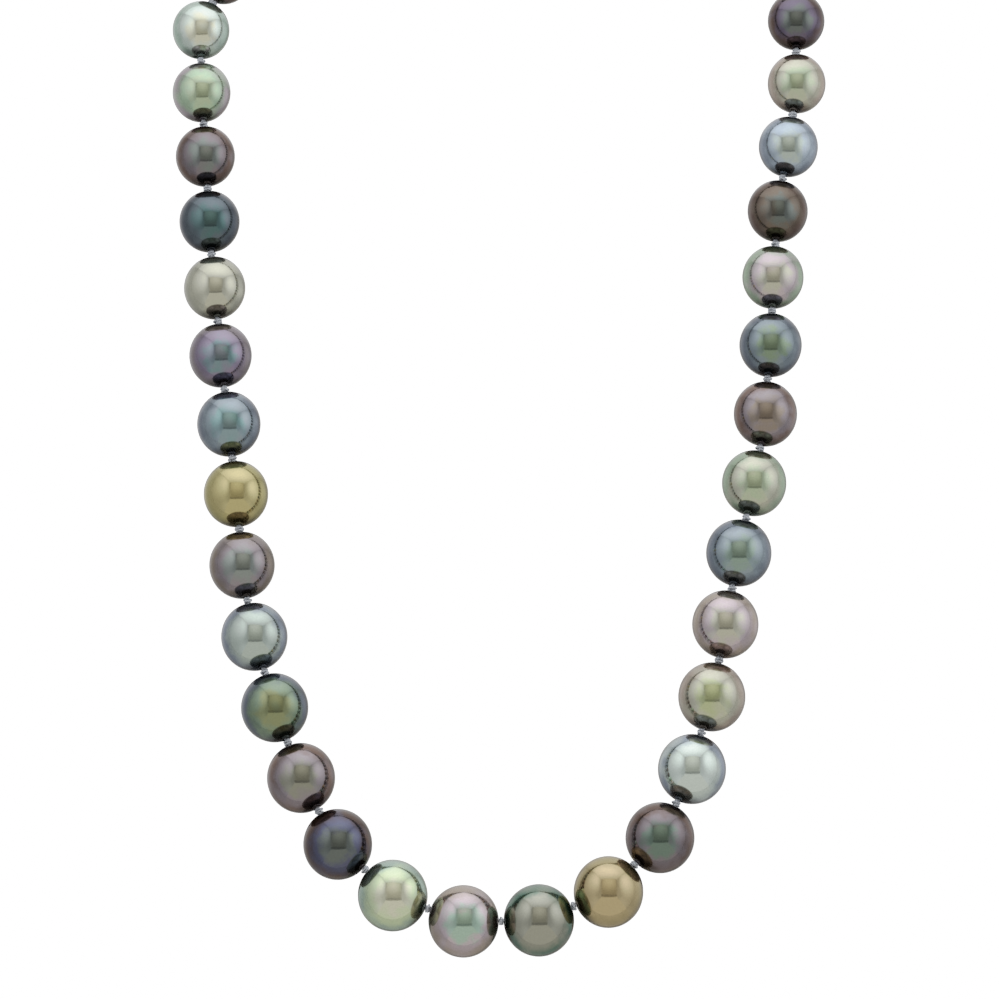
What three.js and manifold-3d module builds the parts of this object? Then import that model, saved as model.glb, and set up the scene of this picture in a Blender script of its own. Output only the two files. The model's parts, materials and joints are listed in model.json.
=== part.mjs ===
// Pearl necklace: a graduated strand of drilled pearls, knotted on silk and closed by a lobster clasp.
// It lies in a loop on a flat surface: +Z is up, the surface is z = 0, and the front of the strand,
// with its largest pearls, is at the low end of Y. The clasp is at the back. Millimetres.
import * as THREE from 'three';
import { mergeVertices } from 'three/addons/utils/BufferGeometryUtils.js';
import Module from 'manifold-3d';

// ---- driving dimensions -------------------------------------------------------------------------

const PEARLS_PER_SIDE = 22;
const FRONT_DIAMETER = 10.95; // the two pearls at the front of the strand
const TAPER = 0.085; // how much smaller each next pearl is
const TAPER_GROWTH = 0.003; // and how much that loss grows towards the back
const BORE_RADIUS = 0.5; // the drilled hole
const PEARL_SEGMENTS = 12; // facets around the bore
const PEARL_PROFILE_SIDES = 16; // sides of the whole outline that is turned around the bore

const FRONT_GAP = 0.9; // between neighbouring pearls, filled by a knot
const SIDE_GAP = 1.42;
const KNOTS_TO_SIDE_GAP = 3; // the knots loosen over this many pearls
const THREAD_RADIUS = 0.3;
const KNOT_RADIUS = 0.72;
const CLEARANCE = 0.25; // between a knot and the pearls it separates
const THREAD_SIDES = 6;

// Where the knots lie, front to back, as x and y. The back arch above them is fitted to the clasp.
const LEFT_ROUTE = [
  [-11.5, -66.7], [-21.6, -60.5], [-28.6, -50.7], [-33.2, -39.6], [-37.1, -28.2],
  [-39.9, -16.6], [-41.3, -4.8], [-42.1, 6.8], [-43.8, 18.2], [-45.0, 29.4],
  [-45.9, 40.4], [-46.9, 51.3], [-47.5, 62.2], [-48.4, 73.1], [-48.2, 83.5],
  [-41.0, 92.8],
];
const RIGHT_ROUTE = [
  [12.1, -66.3], [21.8, -59.5], [28.0, -49.2], [31.8, -38.0], [34.4, -26.2],
  [36.3, -14.5], [38.8, -3.2], [41.4, 8.4], [42.7, 19.8], [43.3, 31.0],
  [43.7, 42.0], [45.0, 53.2], [47.4, 64.1], [48.0, 75.0],
];
const FRONT_KNOT = [0.2, -68.5];
const STRAIGHT_BACK = 20.5; // half of the straight stretch at the back: the clasp and a pearl at each end
const ARCH_SHARES = [0.985, 0.89, 0.72, 0.5, 0.25]; // of the way out from it to the arch's foot
const NEAREST_BACK = 105;
const FURTHEST_BACK = 150;

const RING_RADIUS = 2.6; // to the middle of the wire
const RING_WIRE = 0.4;
const RING_HEIGHT = RING_RADIUS + RING_WIRE; // the rings stand on edge
const LOOP_HALF_LENGTH = 1.275; // wire loops at the strand's ends, to the middle of the wire
const LOOP_HALF_WIDTH = 0.97;
const LOOP_WIRE = 0.32;
const END_CLEARANCE = 0.3; // between a wire loop and its pearl

const CLAW_HEIGHT = 2.7; // of the clasp's middle plane
const HOOK_THICKNESS = 1.7;
const HOUSING_THICKNESS = 2.6;
const EYE_THICKNESS = 1.2;
const SLOT_WIDTH = 1.5;
const TRIGGER_THICKNESS = 0.8;
const PIN_RADIUS = 0.42;
const PIN_BORE = 0.52;
const FIT = 0.1; // running clearance inside the clasp
const LINK_LINE = -1.35; // the line through both rings, beside the clasp's own middle
const HOOK_RING_X = -5.85;
const EYE_X = 5.6;
const EYE_RADIUS = 1.55;
const EYE_HOLE = 0.8;
const EYE_RING_X = 8.15;
const LOOP_REACH = 1.2; // how far inside its ring each wire loop's end lies
const PIVOT = [2.4, 0.9];
const HUB_RADIUS = 0.95; // of the trigger around its pin
const COIL_RADIUS = 0.8; // of the spring beside it
// the clasp's ovals are middle x, middle y, half length and half width; its boxes are x, x, y, y
const HOOK_OUTSIDE = [-1.6, -0.6, 4.6, 3.4];
const HOOK_INSIDE = [-1.4, -0.55, 3.1, 2.1];
const HOOK_MOUTH = [-4.1, 0.85, 0.5, 4];
const TRIGGER_SLOT = [0.5, 3.55, -0.35, 4];
const HOUSING_OUTLINE = [
  [0.6, -3.3], [3.4, -2.7], [4.9, -2.2], [4.9, -0.5], [4.3, 0.9], [3.5, 2.1], [2.4, 2.35], [0.6, 2.35],
];
const TRIGGER_OUTLINE = [
  [-3.95, 1.0], [-1.9, 1.2], [0.2, 1.15], [1.6, 0.4], [2.6, 1.2], [2.4, 1.84], [1.3, 2.5],
  [0.95, 3.2], [0.45, 3.55], [-0.1, 3.35], [-0.45, 2.6], [-2.0, 2.45], [-3.95, 1.9],
];

// ---- materials ----------------------------------------------------------------------------------

const PEARL_COLOURS = {
  silver_cream: 'hsl(75, 12%, 66%)', silver_green: 'hsl(110, 8%, 64%)',
  silver_blue: 'hsl(190, 8%, 62%)', champagne: 'hsl(55, 12%, 58%)',
  pistachio: 'hsl(85, 12%, 58%)', olive_gold: 'hsl(50, 25%, 52%)',
  beige_rose: 'hsl(25, 8%, 60%)', lavender: 'hsl(270, 6%, 58%)',
  teal: 'hsl(165, 12%, 46%)', slate_blue: 'hsl(195, 12%, 48%)',
  peacock: 'hsl(160, 14%, 42%)', bottle_green: 'hsl(90, 12%, 40%)',
  taupe_rose: 'hsl(20, 10%, 46%)', aubergine: 'hsl(320, 6%, 42%)',
  graphite: 'hsl(30, 5%, 37%)', violet_black: 'hsl(235, 10%, 36%)',
  steel_blue: 'hsl(200, 18%, 34%)',
};

// from the front of the strand to its back
const LEFT_PEARLS = [
  'lavender', 'silver_cream', 'violet_black', 'taupe_rose', 'bottle_green', 'silver_blue',
  'aubergine', 'olive_gold', 'slate_blue', 'peacock', 'champagne', 'steel_blue', 'graphite',
  'pistachio', 'silver_green', 'graphite', 'silver_blue', 'bottle_green', 'champagne',
  'aubergine', 'slate_blue', 'pistachio',
];
const RIGHT_PEARLS = [
  'teal', 'olive_gold', 'aubergine', 'silver_blue', 'champagne', 'beige_rose', 'slate_blue',
  'pistachio', 'taupe_rose', 'peacock', 'beige_rose', 'graphite', 'silver_blue', 'silver_cream',
  'violet_black', 'champagne', 'steel_blue', 'lavender', 'olive_gold', 'taupe_rose',
  'silver_cream', 'peacock',
];

const standard = (name, color, roughness, metalness) =>
  new THREE.MeshStandardMaterial({ name, color, roughness, metalness });

const pearlMaterials = {};
for (const [name, colour] of Object.entries(PEARL_COLOURS)) {
  pearlMaterials[name] = standard(`pearl_${name}`, colour, 0.18, 0.35);
}
const silk = standard('silk', '#9a9c9f', 0.55, 0);
const whiteGold = standard('white_gold', '#d6d3cc', 0.16, 1);
const frenchWire = standard('french_wire', '#cfd1d3', 0.3, 1);
const springSteel = standard('spring_steel', '#8f9194', 0.35, 1);

// ---- the layout of the strand -------------------------------------------------------------------

const pearlDiameter = (k) => FRONT_DIAMETER - TAPER * k - TAPER_GROWTH * k * k;
const knotGap = (k) => THREE.MathUtils.lerp(FRONT_GAP, SIDE_GAP, Math.min(1, k / KNOTS_TO_SIDE_GAP));

/** One side's route: the given knots, an arch from the last of them, and the straight back. */
function sideRoute(given, back) {
  const [footX, footY] = given.at(-1);
  const straight = Math.sign(footX) * STRAIGHT_BACK;
  const arch = ARCH_SHARES.map((share) => {
    const rise = Math.sqrt(1 - share * share);
    return [straight + (footX - straight) * share, footY + (back - footY) * rise];
  });
  const points = [FRONT_KNOT, ...given, ...arch, [straight, back], [straight / 2, back], [0, back]];
  const places = points.map(([x, y]) => new THREE.Vector3(x, y, 0));
  return new THREE.CatmullRomCurve3(places, false, 'centripetal');
}

/** The first point of a polyline beyond `start` that is `reach` away from `from`. */
function stepAlong(line, start, from, reach) {
  let i = start;
  while (i < line.length - 1 && line[i].distanceTo(from) < reach) i += 1;
  const near = line[i - 1];
  const far = line[i];
  const nearReach = near.distanceTo(from);
  const share = (reach - nearReach) / (far.distanceTo(from) - nearReach);
  return { index: i, point: near.clone().lerp(far, share) };
}

/** Walks up one side from the front knot and gives its knots and its pearls. */
function layOut(given, back) {
  const line = sideRoute(given, back).getSpacedPoints(1200);
  const knots = [line[0]];
  const pearls = [];
  let index = 1;
  for (let k = 0; k < PEARLS_PER_SIDE; k += 1) {
    const radius = pearlDiameter(k) / 2;
    const reach = 2 * radius + (knotGap(k) + knotGap(k + 1)) / 2;
    const next = stepAlong(line, index, knots[k], reach);
    index = next.index;
    knots.push(next.point);
    const along = next.point.clone().sub(knots[k]).normalize();
    const centre = knots[k].clone().addScaledVector(along, radius + knotGap(k) / 2);
    centre.z = radius;
    pearls.push({ radius, centre, along });
  }
  return { knots, pearls };
}

/** Where a side's last pearl lets its thread out, towards the clasp. */
function outlet({ pearls }) {
  const { centre, along, radius } = pearls.at(-1);
  return centre.clone().addScaledVector(along, radius);
}

const claspSpan = (() => {
  const leftEnd = HOOK_RING_X - LOOP_REACH - 2 * LOOP_HALF_LENGTH - LOOP_WIRE;
  const rightEnd = EYE_RING_X + LOOP_REACH + 2 * LOOP_HALF_LENGTH + LOOP_WIRE;
  return { leftEnd, rightEnd, length: rightEnd - leftEnd + 2 * END_CLEARANCE };
})();

/** Finds how far back the strand's two ends are the clasp's length apart. */
function fitStrand() {
  let [near, far] = [NEAREST_BACK, FURTHEST_BACK];
  let sides;
  for (let i = 0; i < 40; i += 1) {
    const back = (near + far) / 2;
    sides = [layOut(LEFT_ROUTE, back), layOut(RIGHT_ROUTE, back)];
    const apart = outlet(sides[1]).x - outlet(sides[0]).x;
    if (apart > claspSpan.length) far = back;
    else near = back;
  }
  return sides;
}

const [leftSide, rightSide] = fitStrand();

// ---- shapes -------------------------------------------------------------------------------------

/** A pearl of radius r, drilled along Y, whose flats touch the true sphere. */
function pearlGeometry(r) {
  const step = (2 * Math.PI) / PEARL_PROFILE_SIDES;
  const reach = r / Math.cos(step / 2);
  const widen = 1 / Math.cos(Math.PI / PEARL_SEGMENTS);
  const profile = [new THREE.Vector2(BORE_RADIUS, -r)];
  for (let i = 0; i < PEARL_PROFILE_SIDES / 2; i += 1) {
    const angle = (i + 0.5) * step;
    profile.push(new THREE.Vector2(reach * Math.sin(angle) * widen, -reach * Math.cos(angle)));
  }
  profile.push(new THREE.Vector2(BORE_RADIUS, r), profile[0].clone());
  return new THREE.LatheGeometry(profile, PEARL_SEGMENTS, Math.PI / PEARL_SEGMENTS);
}

function pearlMesh(name, { radius, centre, along }, material) {
  const mesh = new THREE.Mesh(pearlGeometry(radius), material);
  const up = new THREE.Vector3(0, 0, 1);
  const across = along.clone().cross(up);
  mesh.name = name;
  mesh.position.copy(centre);
  mesh.quaternion.setFromRotationMatrix(new THREE.Matrix4().makeBasis(across, along, up));
  return mesh;
}

/** A closed tube through stations of { at, along, radius }. */
function tubeThrough(stations, sides) {
  const positions = [];
  const index = [];
  const up = new THREE.Vector3(0, 0, 1);
  for (const { at, along, radius } of stations) {
    const across = up.clone().cross(along).normalize();
    for (let s = 0; s < sides; s += 1) {
      const angle = (2 * Math.PI * s) / sides;
      const point = at.clone().addScaledVector(across, radius * Math.cos(angle));
      positions.push(point.x, point.y, point.z + radius * Math.sin(angle));
    }
  }
  for (let ring = 0; ring < stations.length - 1; ring += 1) {
    for (let s = 0; s < sides; s += 1) {
      const [a, b] = [ring * sides + s, ring * sides + ((s + 1) % sides)];
      index.push(a, b, a + sides, b, b + sides, a + sides);
    }
  }
  const last = (stations.length - 1) * sides;
  for (let s = 1; s < sides - 1; s += 1) {
    index.push(0, s + 1, s, last, last + s, last + s + 1);
  }
  const geometry = new THREE.BufferGeometry();
  geometry.setAttribute('position', new THREE.Float32BufferAttribute(positions, 3));
  geometry.setIndex(index);
  return geometry;
}

/** The silk from the left end of the strand to the right one, with a knot in every gap. */
function silkGeometry() {
  const turned = leftSide.pearls.map((pearl) => ({ ...pearl, along: pearl.along.clone().negate() }));
  const pearls = [...turned.reverse(), ...rightSide.pearls];
  const knots = [...leftSide.knots.slice(1).reverse(), ...rightSide.knots];
  const stations = [];
  const end = (pearl, side) => stations.push({
    at: pearl.centre.clone().addScaledVector(pearl.along, side * (pearl.radius - CLEARANCE)),
    along: pearl.along,
    radius: THREAD_RADIUS,
  });
  end(pearls[0], -1);
  for (let i = 0; i < pearls.length - 1; i += 1) {
    const [before, after] = [pearls[i], pearls[i + 1]];
    const knot = knots[i + 1].clone();
    knot.z = (before.radius + after.radius) / 2;
    const exit = before.centre.clone().addScaledVector(before.along, before.radius);
    const entry = after.centre.clone().addScaledVector(after.along, -after.radius);
    const half = exit.distanceTo(entry) / 2 - CLEARANCE;
    const bisector = before.along.clone().add(after.along).normalize();
    const add = (along, offset, radius) =>
      stations.push({ at: knot.clone().addScaledVector(along, offset), along, radius });
    add(before.along, -half - 2 * CLEARANCE, THREAD_RADIUS);
    add(before.along, -half, THREAD_RADIUS);
    add(before.along, -half * 0.7, KNOT_RADIUS * 0.85);
    add(bisector, 0, KNOT_RADIUS);
    add(after.along, half * 0.7, KNOT_RADIUS * 0.85);
    add(after.along, half, THREAD_RADIUS);
    add(after.along, half + 2 * CLEARANCE, THREAD_RADIUS);
  }
  end(pearls.at(-1), 1);
  return tubeThrough(stations, THREAD_SIDES);
}

const wasm = await Module();
wasm.setup();

function toSolid(geometry) {
  const bare = geometry.clone();
  bare.deleteAttribute('normal');
  bare.deleteAttribute('uv');
  const merged = mergeVertices(bare, 1e-4);
  const vertProperties = new Float32Array(merged.attributes.position.array);
  const triVerts = new Uint32Array(merged.index.array);
  return new wasm.Manifold(new wasm.Mesh({ numProp: 3, vertProperties, triVerts }));
}

function toGeometry(solid) {
  const { vertProperties, triVerts } = solid.getMesh();
  const geometry = new THREE.BufferGeometry();
  geometry.setAttribute('position', new THREE.Float32BufferAttribute(vertProperties, 3));
  geometry.setIndex(new THREE.Uint32BufferAttribute(triVerts, 1));
  return geometry;
}

/** A flat outline of the given thickness, its middle plane at z = middle. */
function plate(shape, thickness, middle = 0, curveSegments = 20) {
  const geometry = new THREE.ExtrudeGeometry(shape, { depth: thickness, bevelEnabled: false, curveSegments });
  return geometry.translate(0, 0, middle - thickness / 2);
}

function oval(x, y, halfLength, halfWidth = halfLength) {
  return new THREE.Shape().absellipse(x, y, halfLength, halfWidth, 0, 2 * Math.PI);
}

function outline(points) {
  return new THREE.Shape(points.map(([x, y]) => new THREE.Vector2(x, y)));
}

function box(x0, x1, y0, y1, thickness) {
  return plate(outline([[x0, y0], [x1, y0], [x1, y1], [x0, y1]]), thickness);
}

/** The clasp's hooked body: a claw, a slotted housing for the trigger, and an eye at its tail. */
function clawGeometry() {
  const through = HOUSING_THICKNESS + 1;
  const cut = (solid, geometry) => solid.subtract(toSolid(geometry));
  let claw = toSolid(plate(oval(...HOOK_OUTSIDE), HOOK_THICKNESS, 0, 32));
  claw = claw.add(toSolid(plate(outline(HOUSING_OUTLINE), HOUSING_THICKNESS)));
  claw = claw.add(toSolid(plate(oval(EYE_X, LINK_LINE, EYE_RADIUS), EYE_THICKNESS)));
  claw = cut(claw, plate(oval(...HOOK_INSIDE), through, 0, 28));
  claw = cut(claw, box(...HOOK_MOUTH, through));
  claw = cut(claw, box(...TRIGGER_SLOT, SLOT_WIDTH));
  claw = cut(claw, plate(oval(EYE_X, LINK_LINE, EYE_HOLE), through, 0, 12));
  claw = cut(claw, plate(oval(...PIVOT, PIN_BORE), through, 0, 12));
  return toGeometry(claw);
}

const triggerMiddle = -SLOT_WIDTH / 2 + FIT + TRIGGER_THICKNESS / 2;

/** The spring-loaded lever that closes the hook, with its thumb tab. */
function triggerGeometry() {
  let trigger = toSolid(plate(outline(TRIGGER_OUTLINE), TRIGGER_THICKNESS, triggerMiddle));
  trigger = trigger.add(toSolid(plate(oval(...PIVOT, HUB_RADIUS), TRIGGER_THICKNESS, triggerMiddle, 16)));
  trigger = trigger.subtract(toSolid(plate(oval(...PIVOT, PIN_BORE), SLOT_WIDTH + 1, triggerMiddle, 12)));
  return toGeometry(trigger);
}

/** The coiled spring on the trigger's pin, beside the trigger. */
function springGeometry() {
  const coil = oval(...PIVOT, COIL_RADIUS);
  coil.holes.push(new THREE.Path().absellipse(...PIVOT, PIN_BORE, PIN_BORE, 0, 2 * Math.PI));
  const thickness = SLOT_WIDTH - TRIGGER_THICKNESS - 3 * FIT;
  return plate(coil, thickness, SLOT_WIDTH / 2 - FIT - thickness / 2, 16);
}

const pinGeometry = () => plate(oval(...PIVOT, PIN_RADIUS), HOUSING_THICKNESS - FIT, 0, 12);

/** A round wire ring standing on edge, in the plane of X and Z. */
const ringGeometry = () => new THREE.TorusGeometry(RING_RADIUS, RING_WIRE, 8, 24).rotateX(Math.PI / 2);

/** A lying oval loop of wire. */
const loopGeometry = () => {
  const middle = LOOP_HALF_WIDTH;
  const loop = new THREE.TorusGeometry(middle, LOOP_WIRE, 8, 16);
  const { position } = loop.attributes;
  const stretch = LOOP_HALF_LENGTH - middle;
  for (let i = 0; i < position.count; i += 1) {
    const x = position.getX(i);
    position.setX(i, x + stretch * THREE.MathUtils.clamp(x / middle, -1, 1));
  }
  return loop;
};

// ---- the assembly -------------------------------------------------------------------------------

function named(name, geometry, material, [x, y, z] = [0, 0, 0]) {
  const mesh = new THREE.Mesh(geometry, material);
  mesh.name = name;
  mesh.position.set(x, y, z);
  return mesh;
}

function strand() {
  const group = new THREE.Group();
  const number = (k) => String(k + 1).padStart(2, '0');
  leftSide.pearls.forEach((pearl, k) =>
    group.add(pearlMesh(`pearl_left_${number(k)}`, pearl, pearlMaterials[LEFT_PEARLS[k]])));
  rightSide.pearls.forEach((pearl, k) =>
    group.add(pearlMesh(`pearl_right_${number(k)}`, pearl, pearlMaterials[RIGHT_PEARLS[k]])));
  group.add(named('silk_thread', silkGeometry(), silk));
  return group;
}

/** The clasp in its own frame: X runs from the hook to the eye, through both rings at y = 0. */
function clasp(loopHeight) {
  const group = new THREE.Group();
  const claw = [0, -LINK_LINE, CLAW_HEIGHT];
  group.add(named('clasp_claw', clawGeometry(), whiteGold, claw));
  group.add(named('clasp_trigger', triggerGeometry(), whiteGold, claw));
  group.add(named('clasp_pin', pinGeometry(), whiteGold, claw));
  group.add(named('clasp_spring', springGeometry(), springSteel, claw));
  group.add(named('clasp_jump_ring', ringGeometry(), whiteGold, [EYE_RING_X, 0, RING_HEIGHT]));
  group.add(named('end_ring', ringGeometry(), whiteGold, [HOOK_RING_X, 0, RING_HEIGHT]));
  const rightLoop = EYE_RING_X + LOOP_REACH + LOOP_HALF_LENGTH;
  const leftLoop = HOOK_RING_X - LOOP_REACH - LOOP_HALF_LENGTH;
  group.add(named('wire_loop_right', loopGeometry(), frenchWire, [rightLoop, 0, loopHeight]));
  group.add(named('wire_loop_left', loopGeometry(), frenchWire, [leftLoop, 0, loopHeight]));
  return group;
}

function placedClasp() {
  const [from, to] = [outlet(leftSide), outlet(rightSide)];
  const group = clasp(from.z);
  const middle = (claspSpan.leftEnd + claspSpan.rightEnd) / 2;
  const turn = Math.atan2(to.y - from.y, to.x - from.x);
  group.rotation.z = turn;
  group.position.set(
    (from.x + to.x) / 2 - middle * Math.cos(turn),
    (from.y + to.y) / 2 - middle * Math.sin(turn),
    0,
  );
  return group;
}

const necklace = new THREE.Group();
necklace.add(strand(), placedClasp());
necklace.updateMatrixWorld(true);
const bounds = new THREE.Box3().setFromObject(necklace, true);
const middle = bounds.getCenter(new THREE.Vector3());
necklace.position.set(-middle.x, -middle.y, -bounds.min.z);

export default necklace;
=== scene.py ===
# Pearl necklace: the visual model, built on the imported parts. Metres, +Z up, resting on z = 0.
import colorsys
import json
import math

import bpy
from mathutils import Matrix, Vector, noise


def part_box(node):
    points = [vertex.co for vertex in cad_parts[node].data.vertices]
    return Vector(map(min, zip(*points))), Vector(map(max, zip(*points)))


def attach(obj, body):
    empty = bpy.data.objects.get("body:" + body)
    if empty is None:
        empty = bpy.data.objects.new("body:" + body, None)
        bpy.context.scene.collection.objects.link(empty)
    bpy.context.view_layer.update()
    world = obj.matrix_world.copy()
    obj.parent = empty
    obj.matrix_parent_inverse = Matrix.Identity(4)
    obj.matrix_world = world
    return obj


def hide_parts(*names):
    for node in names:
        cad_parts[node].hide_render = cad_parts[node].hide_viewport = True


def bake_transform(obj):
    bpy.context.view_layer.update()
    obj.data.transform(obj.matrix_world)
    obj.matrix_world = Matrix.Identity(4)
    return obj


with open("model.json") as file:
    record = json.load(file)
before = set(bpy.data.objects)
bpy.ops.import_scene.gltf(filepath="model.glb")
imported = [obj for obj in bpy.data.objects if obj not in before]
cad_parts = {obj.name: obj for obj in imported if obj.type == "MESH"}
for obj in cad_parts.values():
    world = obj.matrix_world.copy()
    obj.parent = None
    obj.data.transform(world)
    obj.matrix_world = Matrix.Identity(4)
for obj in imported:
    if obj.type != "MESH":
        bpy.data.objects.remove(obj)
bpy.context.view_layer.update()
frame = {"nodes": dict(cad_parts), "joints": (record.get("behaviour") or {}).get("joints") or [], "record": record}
scene = bpy.context.scene
MM = 0.001
UP = Vector((0, 0, 1))
nodes = frame["nodes"]
bodies = frame["record"]["behaviour"]["bodies"]
body_of_node = {n: body for body, names in bodies.items() for n in names}
joints = {j["name"]: j for j in frame["joints"]}
front_knot = Vector(joints["knot_front"]["pos_m"])


# ---- the camera ------------------------------------------------------------------------------------

CAMERA_ELEVATION = math.radians(75)
CAMERA_DISTANCE = 1.0
HALF_VIEW = 0.0789  # half of the width that the camera sees at its target
VIEW_ASIDE = -0.00028  # from the front knot to the camera's target
VIEW_BACK = 0.0687
VIEW_HEIGHT = 0.005
view_target = Vector((front_knot.x + VIEW_ASIDE, front_knot.y + VIEW_BACK, VIEW_HEIGHT))


def add_camera():
    data = bpy.data.cameras.new("camera")
    data.sensor_width = 36
    data.lens = data.sensor_width / 2 * CAMERA_DISTANCE / HALF_VIEW
    data.clip_start, data.clip_end = 0.05, 20
    camera = bpy.data.objects.new("camera", data)
    scene.collection.objects.link(camera)
    towards = Vector((0, -math.cos(CAMERA_ELEVATION), math.sin(CAMERA_ELEVATION)))
    camera.location = view_target + towards * CAMERA_DISTANCE
    camera.rotation_mode = "QUATERNION"
    camera.rotation_quaternion = (-towards).to_track_quat("-Z", "Y")
    scene.camera = camera


add_camera()


# ---- node helpers ----------------------------------------------------------------------------------

TONE_KNEE = 0.35  # up to here the camera's tone curve is straight
TONE_SLOPE = 0.6  # and about this steep beyond it
TONE_WHITE = 2.0
TONE_STOPS = [(TONE_KNEE, TONE_KNEE), (0.6, 0.5), (0.85, 0.64), (1.1, 0.77), (1.5, 0.92)]


def linear(c):
    """The light that shows as this level on a screen."""
    return c / 12.92 if c <= 0.04045 else ((c + 0.055) / 1.055) ** 2.4


def srgb(code):
    """A linear colour from a hex code."""
    return (*(linear(int(code[i:i + 2], 16) / 255) for i in (0, 2, 4)), 1.0)


def nacre(tint, level):
    """The reflectance of a named tint that shows at this level after the camera's soft tone curve."""
    hue, strength = TINTS[tint]
    deeper = strength * (TINT_IN_THE_DARK - level)
    shown = (linear(c) for c in colorsys.hsv_to_rgb(hue / 360, deeper, level))
    return (*(c if c < TONE_KNEE else TONE_KNEE + (c - TONE_KNEE) / TONE_SLOPE for c in shown), 1.0)


class Nodes:
    """A material's node tree, built by short calls."""

    def __init__(self, name):
        self.material = bpy.data.materials.new(name)
        self.material.use_nodes = True
        self.tree = self.material.node_tree
        self.tree.nodes.clear()
        self.out = self.add("OutputMaterial")

    def add(self, kind, inputs=None, **settings):
        node = self.tree.nodes.new("ShaderNode" + kind)
        for key, value in settings.items():
            setattr(node, key, value)
        for key, value in (inputs or {}).items():
            self.set(node.inputs[key], value)
        return node

    def set(self, socket, value):
        if isinstance(value, bpy.types.NodeSocket):
            self.tree.links.new(value, socket)
        else:
            socket.default_value = value

    def math(self, operation, a, b=0.0):
        node = self.add("Math", operation=operation)
        self.set(node.inputs[0], a)
        self.set(node.inputs[1], b)
        return node.outputs[0]

    def vector(self, operation, a, b=None, scale=None):
        node = self.add("VectorMath", operation=operation)
        self.set(node.inputs[0], a)
        if b is not None:
            self.set(node.inputs[1], b)
        if scale is not None:
            self.set(node.inputs["Scale"], scale)
        return node.outputs["Value" if operation in ("DOT_PRODUCT", "DISTANCE") else "Vector"]

    def ramp(self, value, low, high, to_low=0.0, to_high=1.0, smooth=True):
        node = self.add("MapRange", interpolation_type="SMOOTHSTEP" if smooth else "LINEAR")
        for i, v in enumerate((value, low, high, to_low, to_high)):
            self.set(node.inputs[i], v)
        return node.outputs[0]

    def mix(self, share, a, b):
        node = self.add("Mix", data_type="RGBA")
        self.set(node.inputs["Factor"], share)
        colours = [s for s in node.inputs if s.type == "RGBA"]
        self.set(colours[0], a)
        self.set(colours[1], b)
        return [s for s in node.outputs if s.type == "RGBA"][0]

    def noise(self, vector, scale, detail=2.0, roughness=0.5):
        settings = {"Vector": vector, "Scale": scale, "Detail": detail, "Roughness": roughness}
        return self.add("TexNoise", settings).outputs[0]

    def finish(self, shader):
        self.tree.links.new(shader, self.out.inputs["Surface"])
        return self.material


# ---- the pearls' looks -----------------------------------------------------------------------------

# The tints of dark pearls, each a hue in degrees and a strength, and how light a pearl is.
TINTS = {
    "silver": (110, 0.04), "mint": (130, 0.1), "blue": (200, 0.09), "teal": (175, 0.17),
    "peacock": (148, 0.2), "green": (100, 0.14), "pistachio": (78, 0.15), "olive": (66, 0.22),
    "gold": (50, 0.32), "tan": (43, 0.3), "cream": (55, 0.1), "taupe": (30, 0.16),
    "brown": (20, 0.22), "rose": (345, 0.06), "lilac": (280, 0.1), "slate": (214, 0.11),
    "indigo": (236, 0.14),
}
DEPTHS = {"pale": 0.72, "light": 0.65, "mid": 0.54, "dim": 0.48, "dusky": 0.41, "deep": 0.35}
TINT_IN_THE_DARK = 1.8  # a tint is stronger the darker its pearl is
# How much darker each pearl's shoulders are than its face: painted shade for the darker rims, deepest under slate,
# brown and peacock shoulders.
SHOULDER_PAINTED_SHADE = {"slate": 0.76, "brown": 0.78, "peacock": 0.7}
PLAIN_RIM_PAINTED_SHADE = 0.87

# Each pearl from the front knot back: how light it is, and the tints of its face, its shoulders and
# the overtone between them. Those behind the first fifteen or sixteen on a side are a guess.
LEFT_LOOKS = [
    ("light", "mint", "taupe", "rose"),
    ("pale", "cream", "mint", "pistachio"),
    ("deep", "silver", "brown", "indigo"),
    ("dim", "cream", "brown", "rose"),
    ("dim", "olive", "slate", "green"),
    ("light", "silver", "slate", "silver"),
    ("dim", "silver", "taupe", "rose"),
    ("light", "gold", "gold", "gold"),
    ("mid", "teal", "slate", "blue"),
    ("dim", "teal", "rose", "lilac"),
    ("light", "cream", "cream", "cream"),
    ("deep", "teal", "slate", "blue"),
    ("dusky", "silver", "brown", "rose"),
    ("light", "pistachio", "rose", "green"),
    ("pale", "cream", "mint", "silver"),
    ("dusky", "taupe", "brown", "rose"),
    ("light", "silver", "slate", "blue"),
    ("dim", "olive", "slate", "green"),
    ("light", "cream", "cream", "cream"),
    ("dim", "silver", "taupe", "rose"),
    ("mid", "teal", "slate", "blue"),
    ("light", "green", "taupe", "mint"),
]
RIGHT_LOOKS = [
    ("mid", "cream", "peacock", "cream"),
    ("light", "tan", "tan", "tan"),
    ("dusky", "mint", "brown", "rose"),
    ("pale", "silver", "slate", "silver"),
    ("light", "olive", "taupe", "cream"),
    ("light", "cream", "taupe", "rose"),
    ("mid", "mint", "slate", "blue"),
    ("light", "pistachio", "green", "cream"),
    ("dim", "taupe", "brown", "rose"),
    ("dim", "green", "slate", "blue"),
    ("light", "cream", "green", "rose"),
    ("deep", "silver", "brown", "taupe"),
    ("light", "silver", "slate", "blue"),
    ("light", "pistachio", "taupe", "cream"),
    ("deep", "silver", "brown", "lilac"),
    ("light", "pistachio", "taupe", "cream"),
    ("deep", "teal", "slate", "blue"),
    ("light", "mint", "taupe", "lilac"),
    ("light", "gold", "gold", "gold"),
    ("mid", "cream", "brown", "rose"),
    ("pale", "cream", "mint", "cream"),
    ("dim", "peacock", "rose", "lilac"),
]
PAINTED_ORIENT_AXIS = (0.0, -0.26, 0.966)  # the camera's line of sight, up and a little to the front; the colour rings around it paint the orient sheen and darker rims seen from there


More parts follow.
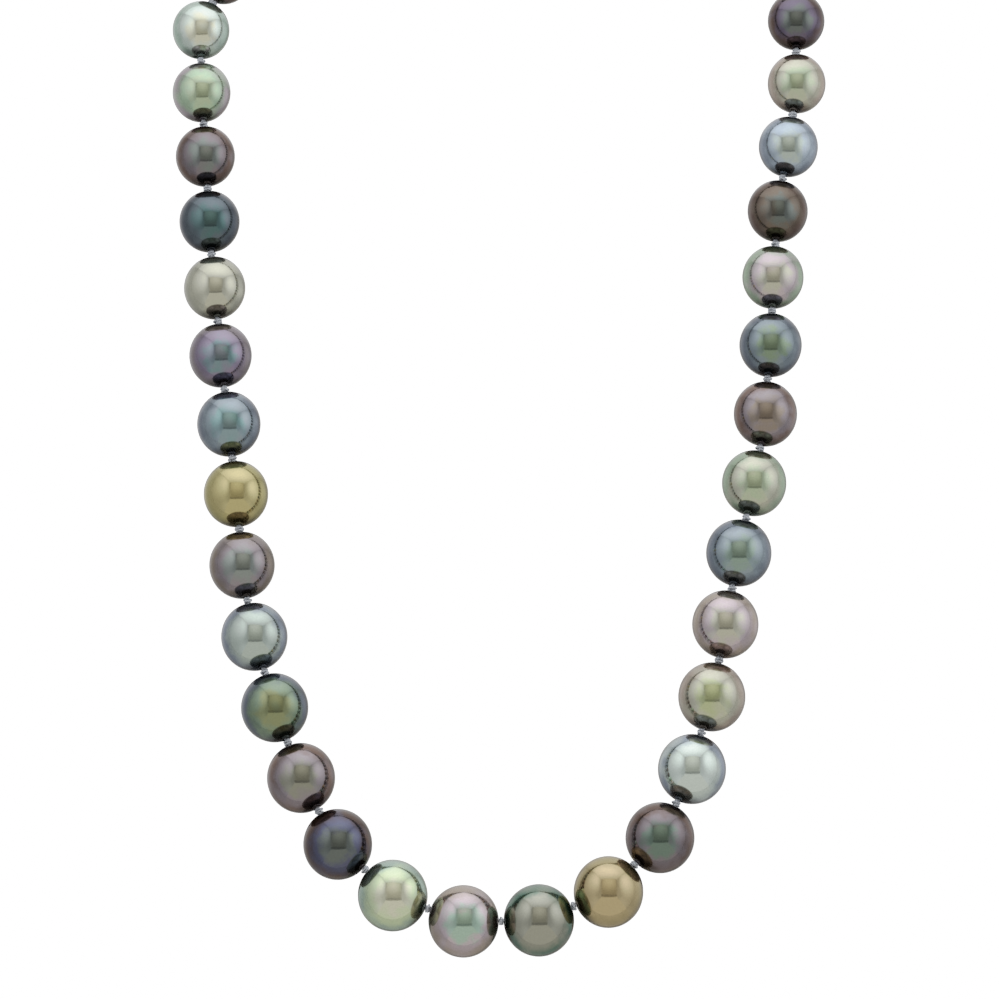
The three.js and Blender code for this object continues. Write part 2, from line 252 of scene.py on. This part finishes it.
def pearl_material(name, look, radius, bore, seed):
    n = Nodes(name)
    depth, *tints = look
    level = DEPTHS[depth]
    # the shoulders' lower level is painted rim shade
    levels = (level, level * SHOULDER_PAINTED_SHADE.get(tints[1], PLAIN_RIM_PAINTED_SHADE), level)
    face, shoulder, overtone = (nacre(tint, lit) for tint, lit in zip(tints, levels))
    place = n.add("TexCoord").outputs["Object"]
    unit = n.vector("SCALE", place, scale=1 / radius)
    drift = n.vector("ADD", unit, (seed * 3.7, seed * 1.3, seed * 2.1))
    broad = n.noise(drift, 1.3, 1.0)
    cloudy = n.noise(drift, 3.2, 3.0)
    grain = n.noise(drift, 26.0, 3.0, 0.6)
    # The face, overtone ring and shoulders lie in rings around the camera's line of sight: the tints are the
    # pearls' own colours, and the rings are painted orient sheen and painted rim shade.
    towards = n.vector("DOT_PRODUCT", unit, PAINTED_ORIENT_AXIS)
    wander = n.math("MULTIPLY_ADD", cloudy, 0.4)
    n.set(wander.node.inputs[2], -0.2)
    rise = n.math("ADD", towards, wander)
    colour = n.mix(n.ramp(rise, 0.76, 0.95), overtone, face)
    colour = n.mix(n.ramp(rise, 0.45, 0.8), shoulder, colour)
    colour = n.mix(n.ramp(broad, 0.5, 0.72, 0.0, 0.55), colour, overtone)
    # Painted shade: the colour darkens towards both mouths of the bore, where each pearl faces its neighbours and
    # knots.
    drilled = n.math("ABSOLUTE", n.vector("DOT_PRODUCT", unit, tuple(bore)))
    painted_bore_shade = n.ramp(drilled, 0.8, 0.97, 1.0, 0.42)
    grain_and_painted_bore_shade = n.math("MULTIPLY", n.ramp(grain, 0.25, 0.75, 0.89, 1.08, smooth=False), painted_bore_shade)
    colour = n.vector("SCALE", colour, scale=grain_and_painted_bore_shade)
    cells = n.add("TexVoronoi", {"Vector": drift, "Scale": 1.9})
    chosen = n.math("GREATER_THAN", n.vector("DOT_PRODUCT", cells.outputs["Color"], (1.0, 0.0, 0.0)), 0.72)
    pit = n.math("MULTIPLY", n.ramp(cells.outputs["Distance"], 0.0, 0.055, 1.0, 0.0), chosen)
    relief = n.math("SUBTRACT", n.math("MULTIPLY", grain, 0.09), pit)
    bump = n.add("Bump", {"Strength": 0.35, "Distance": 0.00004, "Height": relief})
    rough = n.ramp(grain, 0.3, 0.7, 0.08, 0.13, smooth=False)
    shader = n.add("BsdfPrincipled", {
        "Base Color": colour, "Metallic": 0.94, "Roughness": rough, "IOR": 1.55,
        "Specular Tint": (0.85, 0.82, 0.8, 1),
        "Coat Weight": 0.05, "Coat Roughness": 0.06, "Coat IOR": 1.6, "Normal": bump.outputs[0],
    })
    return n.finish(shader.outputs[0])


# ---- metal and silk --------------------------------------------------------------------------------

def metal_material(name, colour, roughness, wear=0.06):
    n = Nodes(name)
    place = n.add("TexCoord").outputs["Object"]
    fine = n.noise(place, 2600.0, 3.0, 0.6)
    stretched = n.vector("MULTIPLY", place, (9000.0, 900.0, 9000.0))
    brushed = n.add("TexNoise", {"Vector": stretched, "Scale": 1.0, "Detail": 2.0}).outputs[0]
    tone = n.ramp(n.noise(place, 700.0, 2.0), 0.35, 0.7, 0.0, 1.0)
    dull = tuple(c * 0.82 for c in colour[:3]) + (1.0,)
    base = n.mix(n.math("MULTIPLY", tone, 0.5), colour, dull)
    rough = n.ramp(fine, 0.3, 0.75, roughness, roughness + wear, smooth=False)
    height = n.math("ADD", n.math("MULTIPLY", fine, 0.4), n.math("MULTIPLY", brushed, 0.6))
    bump = n.add("Bump", {"Strength": 0.08, "Distance": 0.00002, "Height": height})
    shader = n.add("BsdfPrincipled", {
        "Base Color": base, "Metallic": 1.0, "Roughness": rough, "Normal": bump.outputs[0],
    })
    return n.finish(shader.outputs[0])


def silk_material():
    n = Nodes("silk")
    place = n.add("TexCoord").outputs["Object"]
    fibre = n.noise(n.vector("MULTIPLY", place, (16000.0, 5000.0, 16000.0)), 1.0, 3.0, 0.65)
    patches = n.noise(place, 900.0, 2.0)
    base = n.mix(n.ramp(fibre, 0.3, 0.6), srgb("5f636a"), srgb("d4d8df"))
    base = n.mix(n.ramp(patches, 0.5, 0.75, 0.0, 0.5), base, srgb("868a92"))
    bump = n.add("Bump", {"Strength": 0.5, "Distance": 0.00003, "Height": fibre})
    rough = n.ramp(fibre, 0.2, 0.8, 0.3, 0.48, smooth=False)
    shader = n.add("BsdfPrincipled", {
        "Base Color": base, "Metallic": 0.25, "Roughness": rough, "Specular IOR Level": 0.8,
        "Sheen Weight": 0.5, "Sheen Roughness": 0.3, "Normal": bump.outputs[0],
    })
    return n.finish(shader.outputs[0])


white_gold = metal_material("white_gold", srgb("dcd9d3"), 0.1)
french_wire = metal_material("french_wire", srgb("d5d7d9"), 0.2, 0.1)
spring_steel = metal_material("spring_steel", srgb("9a9b9e"), 0.24, 0.12)
silk = silk_material()


# ---- mesh helpers ----------------------------------------------------------------------------------

def mesh_object(name, points, faces, material, smooth=True):
    mesh = bpy.data.meshes.new(name)
    mesh.from_pydata([tuple(p) for p in points], [], faces)
    mesh.update()
    if smooth:
        mesh.polygons.foreach_set("use_smooth", [True] * len(mesh.polygons))
    mesh.materials.append(material)
    piece = bpy.data.objects.new(name, mesh)
    scene.collection.objects.link(piece)
    return piece


def frames_along(path, closed=False):
    """A steady pair of directions across the path at each of its points."""
    count = len(path)
    along = []
    for i in range(count):
        before = path[i - 1] if i or closed else path[0]
        after = path[(i + 1) % count] if i < count - 1 or closed else path[-1]
        along.append((after - before).normalized())
    across = along[0].orthogonal().normalized()
    out = []
    for direction in along:
        across = (across - direction * across.dot(direction)).normalized()
        out.append((across.copy(), direction.cross(across)))
    return out


def tube(path, radius, sides=10, closed=False, plies=0, twist=0.0):
    """Points and faces of a tube along a path. With plies, its outline has that many twisted lobes."""
    points, faces = [], []
    around = frames_along(path, closed)
    for i, (centre, (a, b)) in enumerate(zip(path, around)):
        r = radius(i / (len(path) - 1)) if callable(radius) else radius
        for s in range(sides):
            angle = 2 * math.pi * s / sides
            lobe = 1 + 0.17 * math.cos(plies * angle - twist * i) if plies else 1.0
            points.append(centre + (a * math.cos(angle) + b * math.sin(angle)) * r * lobe)
    rings = len(path) if closed else len(path) - 1
    for i in range(rings):
        here, there = i * sides, (i + 1) % len(path) * sides
        for s in range(sides):
            t = (s + 1) % sides
            faces.append((here + s, here + t, there + t, there + s))
    if not closed:
        faces.append(tuple(reversed(range(sides))))
        last = (len(path) - 1) * sides
        faces.append(tuple(range(last, last + sides)))
    return points, faces


def joined(parts):
    points, faces = [], []
    for some_points, some_faces in parts:
        start = len(points)
        points += some_points
        faces += [tuple(start + i for i in face) for face in some_faces]
    return points, faces


def smooth_path(corners, steps):
    """A Catmull-Rom curve through the corners."""
    out = []
    for i in range(len(corners) - 1):
        p0, p1, p2 = corners[max(i - 1, 0)], corners[i], corners[i + 1]
        p3 = corners[min(i + 2, len(corners) - 1)]
        for s in range(steps):
            t = s / steps
            out.append(0.5 * (2 * p1 + (p2 - p0) * t + (2 * p0 - 5 * p1 + 4 * p2 - p3) * t * t
                              + (3 * p1 - p0 - 3 * p2 + p3) * t ** 3))
    out.append(corners[-1])
    return out


def middle_and_half(node):
    """The middle of a CAD node's box and half of its size."""
    low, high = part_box(node)
    return (low + high) / 2, (high - low) / 2


# ---- the pearls ------------------------------------------------------------------------------------

BORE = 0.5 * MM
BORE_EDGE = 0.1 * MM  # the rounded edge of its mouth
PEARL_AROUND = 72
PEARL_ALONG = 56
PEARLS_PER_SIDE = 22
OVAL = 0.03  # the pearls are a little longer from front to back than from side to side
UNEVEN = 0.0022  # how far a pearl's skin wanders from a true round


class Pearl:
    def __init__(self, side, number):
        self.node = f"pearl_{side}_{number:02d}"
        low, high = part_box(self.node)
        self.radius = (high.z - low.z) / 2
        self.centre = Vector(((low.x + high.x) / 2, (low.y + high.y) / 2, self.radius))
        self.body = body_of_node[self.node]


left = [Pearl("left", k + 1) for k in range(PEARLS_PER_SIDE)]
right = [Pearl("right", k + 1) for k in range(PEARLS_PER_SIDE)]


def knot_place(a, b):
    """The middle of the gap between two pearls."""
    along = (b.centre - a.centre).normalized()
    return (a.centre + along * a.radius + b.centre - along * b.radius) / 2


def set_bores(side, other_front):
    """Each pearl is drilled from the knot before it to the knot after it."""
    for k, pearl in enumerate(side):
        before = knot_place(side[k - 1], pearl) if k else knot_place(other_front, pearl)
        if k < len(side) - 1:
            pearl.bore = (knot_place(pearl, side[k + 1]) - before).normalized()
        else:
            pearl.bore = (pearl.centre - before).normalized()
        pearl.bore.z = 0
        pearl.bore.normalize()


set_bores(left, right[0])
set_bores(right, left[0])


def pearl_profile(radius):
    """Distance from the bore and height along it, from one mouth of the bore to the other."""
    start = math.asin((BORE + BORE_EDGE) / radius)
    outside = []
    for i in range(PEARL_ALONG + 1):
        angle = start + (math.pi - 2 * start) * i / PEARL_ALONG
        outside.append((radius * math.sin(angle), radius * math.cos(angle)))
    mouth = radius * math.cos(start)
    edge = [(BORE, mouth - 0.5 * MM), (BORE, mouth - 0.12 * MM), (BORE + 0.02 * MM, mouth - 0.04 * MM),
            (BORE + 0.06 * MM, mouth - 0.005 * MM)]
    return edge + outside + [(r, -h) for r, h in reversed(edge)]


def add_pearl(pearl, look, seed):
    profile = pearl_profile(pearl.radius)
    across = UP.cross(pearl.bore)
    points, faces = [], []
    for r, h in profile:
        for s in range(PEARL_AROUND):
            angle = 2 * math.pi * s / PEARL_AROUND
            p = across * r * math.cos(angle) + UP * r * math.sin(angle) + pearl.bore * h
            if r > BORE + BORE_EDGE:
                away = noise.noise(p.normalized() * 1.4 + Vector((seed, 0, 0)))
                p *= 1 + UNEVEN * away
            p.y *= 1 + OVAL
            points.append(p)
    count = len(profile)
    for i in range(count):
        here, there = i * PEARL_AROUND, (i + 1) % count * PEARL_AROUND
        for s in range(PEARL_AROUND):
            t = (s + 1) % PEARL_AROUND
            faces.append((here + s, here + t, there + t, there + s))
    name = pearl.node.replace("pearl", "nacre")
    material = pearl_material(name, look, pearl.radius, pearl.bore, seed)
    piece = mesh_object(name, points, faces, material)
    piece.location = pearl.centre
    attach(piece, pearl.body)
    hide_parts(pearl.node)


for k in range(PEARLS_PER_SIDE):
    add_pearl(left[k], LEFT_LOOKS[k], 1.0 + k)
    add_pearl(right[k], RIGHT_LOOKS[k], 31.0 + k)


# ---- the silk: a knot in every gap -----------------------------------------------------------------

THREAD = 0.27 * MM
PLY = 0.2 * MM  # the turns of a knot


def knot_parts(place, along, gap, seed):
    """A tight overhand knot on the thread that runs along the given direction."""
    across = UP.cross(along).normalized()
    over = along.cross(across)
    length = gap - 0.08 * MM
    turn = seed * 2.4

    def at(x, r, angle):
        return place + along * x + (across * math.cos(angle) + over * math.sin(angle)) * r

    core = [at(length * (i / 12 - 0.5) * 2.3, 0.03 * MM, 2.0 * i) for i in range(13)]
    wound = []
    steps = 72
    for i in range(steps + 1):
        t = i / steps
        x = length * (-0.31 + 0.62 * t)
        swell = 0.46 + 0.05 * math.sin(math.pi * t) + 0.03 * math.sin(9 * t + seed)
        wound.append(at(x, swell * MM * min(1.0, 0.3 + 7 * min(t, 1 - t)), turn + 3.6 * math.pi * t))
    crossing = []
    for i in range(23):
        t = i / 22
        x = length * (0.26 - 0.52 * t)
        crossing.append(at(x, (0.26 + 0.36 * math.sin(math.pi * t)) * MM, turn + 2.2 + 2.6 * t))
    return [
        tube(core, THREAD, 10, plies=2, twist=0.9),
        tube(wound, PLY, 12, plies=2, twist=0.35),
        tube(crossing, PLY, 12, plies=2, twist=0.4),
    ]


def add_knot(name, a, b, seed):
    along = (b.centre - a.centre).normalized()
    place = knot_place(a, b)
    gap = (b.centre - a.centre).length - a.radius - b.radius
    piece = mesh_object(name, *joined(knot_parts(place, along, gap, seed)), silk)
    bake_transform(piece)
    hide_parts("silk_thread")


add_knot("silk_knot_front", left[0], right[0], 0.5)
for k in range(PEARLS_PER_SIDE - 1):
    add_knot(f"silk_knot_left_{k + 1:02d}", left[k], left[k + 1], 1.7 + k)
    add_knot(f"silk_knot_right_{k + 1:02d}", right[k], right[k + 1], 40.3 + k)


# ---- the ends: silk through a loop of French wire --------------------------------------------------

LOOP_REACHES_IN = 0.5 * MM
LOOP_STANDS_OFF = 0.6 * MM
LOOP_NECK = 0.17 * MM  # half of the way between the loop's two ends
LOOP_SILK = 0.17 * MM
FRENCH_WIRE = 0.055 * MM


def add_wire_loop(node, pearl, reaches_in):
    """A fine coil of wire around the silk, bent to a loop whose ends meet at the pearl."""
    centre, half = middle_and_half(node)
    thickness = half.z
    mouth = pearl.centre + pearl.bore * pearl.radius
    way = Vector((1 if centre.x > mouth.x else -1, 0, 0))
    long, wide = half.x - thickness, half.y - thickness
    arc = []
    for i in range(33):
        angle = math.radians(30 + 300 * i / 32)
        x, y = -math.cos(angle), math.sin(angle)
        arc.append(centre + way * long * x + Vector((0, y * wide, 0)))
    # a loop that swings on its own stands off from its pearl, and clears it at both ends of its swing
    inside = LOOP_REACHES_IN if reaches_in else -LOOP_STANDS_OFF
    foot = mouth - pearl.bore * inside
    ends = [foot + Vector((0, LOOP_NECK, 0)), foot + Vector((0, -LOOP_NECK, 0))]
    first, last = (ends[0], ends[1]) if arc[0].y > arc[-1].y else (ends[1], ends[0])
    path = smooth_path([first] + arc + [last], 5)
    coil_radius = thickness - FRENCH_WIRE
    lengths = [0.0]
    for p, q in zip(path, path[1:]):
        lengths.append(lengths[-1] + (q - p).length)
    around = frames_along(path)
    coil = []
    per_turn = 9
    turns = int(lengths[-1] / (2.1 * FRENCH_WIRE))
    k = 0
    for i in range(turns * per_turn):
        reach = lengths[-1] * i / (turns * per_turn)
        while k < len(lengths) - 2 and lengths[k + 1] < reach:
            k += 1
        t = (reach - lengths[k]) / max(lengths[k + 1] - lengths[k], 1e-9)
        a, b = around[k]
        angle = 2 * math.pi * i / per_turn
        centre_here = path[k].lerp(path[k + 1], t)
        coil.append(centre_here + (a * math.cos(angle) + b * math.sin(angle)) * coil_radius)
    piece = mesh_object(node.replace("wire_loop", "french_wire"), *tube(coil, FRENCH_WIRE, 6), french_wire)
    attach(piece, body_of_node[node])
    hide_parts(node)
    core_tube = tube(path, LOOP_SILK, 8, plies=2, twist=0.3)
    core = mesh_object(node.replace("wire_loop", "silk_core"), *core_tube, silk)
    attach(core, body_of_node[node])
    stub = [mouth + pearl.bore * x * MM for x in (-1.4, -0.9, -0.3, 0.1, 0.24)]
    end_tube = tube(stub, 0.3 * MM, 12, plies=2, twist=0.7)
    end = mesh_object(node.replace("wire_loop", "silk_end"), *end_tube, silk)
    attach(end, pearl.body)
    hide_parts("silk_thread")


add_wire_loop("wire_loop_left", left[-1], False)
add_wire_loop("wire_loop_right", right[-1], True)


# ---- the clasp -------------------------------------------------------------------------------------

def add_ring(node, name, cut):
    """A ring of round wire, standing on edge. A cut ring shows the seam where it was closed."""
    centre, half = middle_and_half(node)
    wire = half.y
    radius = half.z - wire
    gap = 0.035 * MM / radius if cut else 0.0
    count = 96
    path = []
    for i in range(count + (1 if cut else 0)):
        angle = math.radians(130) + gap / 2 + (2 * math.pi - gap) * i / count
        path.append(centre + Vector((math.cos(angle), 0, math.sin(angle))) * radius)
    piece = mesh_object(name, *tube(path, wire, 20, closed=not cut), white_gold)
    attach(piece, body_of_node[node])
    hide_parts(node)


add_ring("clasp_jump_ring", "jump_ring", True)
add_ring("end_ring", "soldered_ring", False)


def add_cast(node, name, voxel, rounds, material):
    """A cast and tumbled copy of a CAD node: the same solid with softly rounded edges."""
    source = nodes[node]
    piece = bpy.data.objects.new(name, source.data.copy())
    scene.collection.objects.link(piece)
    remesh = piece.modifiers.new("cast", "REMESH")
    remesh.mode = "VOXEL"
    remesh.voxel_size = voxel
    remesh.use_smooth_shade = True
    tumble = piece.modifiers.new("tumble", "SMOOTH")
    tumble.factor = 0.5
    tumble.iterations = rounds
    bpy.context.view_layer.update()
    made = bpy.data.meshes.new_from_object(piece.evaluated_get(bpy.context.evaluated_depsgraph_get()))
    piece.modifiers.clear()
    piece.data = made
    made.materials.clear()
    made.materials.append(material)
    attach(piece, body_of_node[node])
    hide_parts(node)


add_cast("clasp_claw", "claw", 0.06 * MM, 10, white_gold)
add_cast("clasp_trigger", "trigger", 0.05 * MM, 7, white_gold)
add_cast("clasp_pin", "pin", 0.04 * MM, 4, white_gold)


def add_spring():
    centre, half = middle_and_half("clasp_spring")
    wire = 0.085 * MM
    radius = half.x - wire
    path = []
    for i in range(61):
        t = i / 60
        angle = 2 * math.pi * 2.4 * t
        height = (half.z - wire) * (2 * t - 1)
        path.append(centre + Vector((math.cos(angle) * radius, math.sin(angle) * radius, height)))
    piece = mesh_object("trigger_spring", *tube(path, wire, 10), spring_steel)
    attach(piece, body_of_node["clasp_spring"])
    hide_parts("clasp_spring")


add_spring()


# ---- the studio ------------------------------------------------------------------------------------

TENT_HALF_WIDTH = 0.31
TENT_HALF_DEPTH = 0.33
TENT_HEIGHT = 0.6
FLOOR_REACH = 8.0
FLOOR_GAP = 0.00002  # keeps the floor's plane off what rests on it
tent_middle = Vector((0.035, view_target.y - 0.02, 0))


def add_plane(name, corners, material):
    plane = mesh_object(name, corners, [(0, 1, 2, 3)], material, smooth=False)
    return plane


def glow_material(name, colour, base, spots):
    """A lit diffuser: an even glow and brighter places, each a point, its reach and its gain."""
    n = Nodes(name)
    where = n.add("NewGeometry").outputs["Position"]
    strength = base
    for spot, reach, gain in spots:
        away = n.vector("DISTANCE", where, tuple(spot))
        strength = n.math("ADD", n.ramp(away, 0.0, reach, gain, 0.0), strength)
    glow = n.add("Emission", {"Color": colour, "Strength": strength})
    return n.finish(glow.outputs[0])


def add_tent():
    """Four lit diffusers around the necklace, open at the top, seen only by what they light."""
    w, d, h = TENT_HALF_WIDTH, TENT_HALF_DEPTH, TENT_HEIGHT
    m = tent_middle
    corner = {
        "lf": m + Vector((-w, -d, 0)), "rf": m + Vector((w, -d, 0)),
        "lb": m + Vector((-w, d, 0)), "rb": m + Vector((w, d, 0)),
    }
    rise = Vector((0, 0, h))
    daylight = (0.96, 1.0, 1.06, 1)
    walls = {
        "front": ("lf", "rf", (1.0, 1.0, 0.98, 1), 1.0, []),
        "left": ("lb", "lf", daylight, 0.66, [
            (m + Vector((-w, 0.2, 0.3)), 0.4, 1.35), (m + Vector((-w, -d, 0.2)), 0.3, 0.35)]),
        "right": ("rf", "rb", daylight, 0.74, [
            (m + Vector((w, 0.13, 0.2)), 0.36, 1.5), (m + Vector((w, -d, 0.2)), 0.3, 0.26)]),
        "back": ("rb", "lb", daylight, 1.2, [(m + Vector((-0.03, d, 0.16)), 0.5, 1.6)]),
    }
    for name, (a, b, colour, base, spots) in walls.items():
        a, b = corner[a], corner[b]
        material = glow_material(f"diffuser_{name}", colour, base, spots)
        wall = add_plane(f"diffuser_{name}", [a, b, b + rise, a + rise], material)
        wall.visible_camera = False
    # the dark rods that hold the diffusers up, along their top edges and at the corners
    front_rod, side_rod, post = 0.1, 0.06, 0.022
    top = m + rise
    strips = {
        "rod_front": (0.34, Vector((-w, -d, 0)), Vector((w, -d + front_rod, 0))),
        "rod_left": (0.6, Vector((-w, -d + front_rod, 0)), Vector((-w + side_rod, d, 0))),
        "rod_right": (0.6, Vector((w - side_rod, -d + front_rod, 0)), Vector((w, d, 0))),
    }
    for name, (strength, low, high) in strips.items():
        rod = glow_material(name, (1, 1, 1, 1), strength, [])
        flat = [low, Vector((high.x, low.y, 0)), high, Vector((low.x, high.y, 0))]
        strip = add_plane(name, [top + p for p in flat], rod)
        strip.visible_camera = False
    seam = glow_material("seam", (1, 1, 1, 1), 0.95, [])
    for name in ("lb", "rb"):
        place = corner[name]
        inward = (m - place).normalized() * 0.004
        side = UP.cross(inward).normalized() * post / 2
        foot = place + inward + Vector((0, 0, 0.1))
        head = place + inward + rise
        strip = add_plane("seam_" + name, [foot - side, foot + side, head + side, head - side], seam)
        strip.visible_camera = False
    # what hangs above the opening: bright towards the back, dim over the front
    sky = glow_material("sky", (1.0, 0.99, 0.93, 1), 0.5, [(m + Vector((0, d, 0.8)), 0.62, 0.75)])
    reach = 0.7
    lid = [Vector((-reach, -reach, 0.8)), Vector((reach, -reach, 0.8)),
           Vector((reach, reach, 0.8)), Vector((-reach, reach, 0.8))]
    ceiling = add_plane("ceiling", [m + p for p in lid], sky)
    ceiling.visible_camera = False


def add_floor():
    n = Nodes("floor")
    place = n.add("TexCoord").outputs["Object"]
    mottle = n.noise(place, 18.0, 2.0)
    paper = n.add("BsdfDiffuse", {"Color": n.mix(mottle, (0.78, 0.78, 0.78, 1), (0.82, 0.82, 0.82, 1))})
    gloss = n.add("BsdfAnisotropic", {"Color": (0.72, 0.72, 0.72, 1), "Roughness": 0.15})
    acrylic = n.add("MixShader", {0: 0.72, 1: paper.outputs[0], 2: gloss.outputs[0]})
    blank = n.add("Emission", {"Color": (1, 1, 1, 1), "Strength": TONE_WHITE})
    path = n.add("LightPath")
    both = n.add("MixShader", {0: path.outputs["Is Camera Ray"], 1: acrylic.outputs[0], 2: blank.outputs[0]})
    reach = FLOOR_REACH
    z = -FLOOR_GAP
    corners = [(-reach, -reach, z), (reach, -reach, z), (reach, reach, z), (-reach, reach, z)]
    add_plane("floor", corners, n.finish(both.outputs[0]))


def add_world():
    world = bpy.data.worlds.new("studio")
    scene.world = world
    world.use_nodes = True
    tree = world.node_tree
    tree.nodes.clear()
    out = tree.nodes.new("ShaderNodeOutputWorld")
    path = tree.nodes.new("ShaderNodeLightPath")
    mix = tree.nodes.new("ShaderNodeMixShader")
    room = tree.nodes.new("ShaderNodeBackground")
    room.inputs[0].default_value = (1.0, 0.98, 0.9, 1)
    room.inputs[1].default_value = 0.6
    blank = tree.nodes.new("ShaderNodeBackground")
    blank.inputs[0].default_value = (1, 1, 1, 1)
    blank.inputs[1].default_value = TONE_WHITE
    tree.links.new(path.outputs["Is Camera Ray"], mix.inputs[0])
    tree.links.new(room.outputs[0], mix.inputs[1])
    tree.links.new(blank.outputs[0], mix.inputs[2])
    tree.links.new(mix.outputs[0], out.inputs[0])


add_tent()
add_floor()
add_world()
scene.view_settings.view_transform = "Standard"
scene.view_settings.look = "None"


def set_tone():
    """The camera's soft tone curve: straight in the darks, and gentler in the lights."""
    view = scene.view_settings
    view.use_curve_mapping = True
    mapping = view.curve_mapping
    mapping.white_level = (TONE_WHITE, TONE_WHITE, TONE_WHITE)
    mapping.black_level = (0, 0, 0)
    curve = mapping.curves[3]
    for x, y in TONE_STOPS:
        curve.points.new(x / TONE_WHITE, y)
    mapping.update()


set_tone()
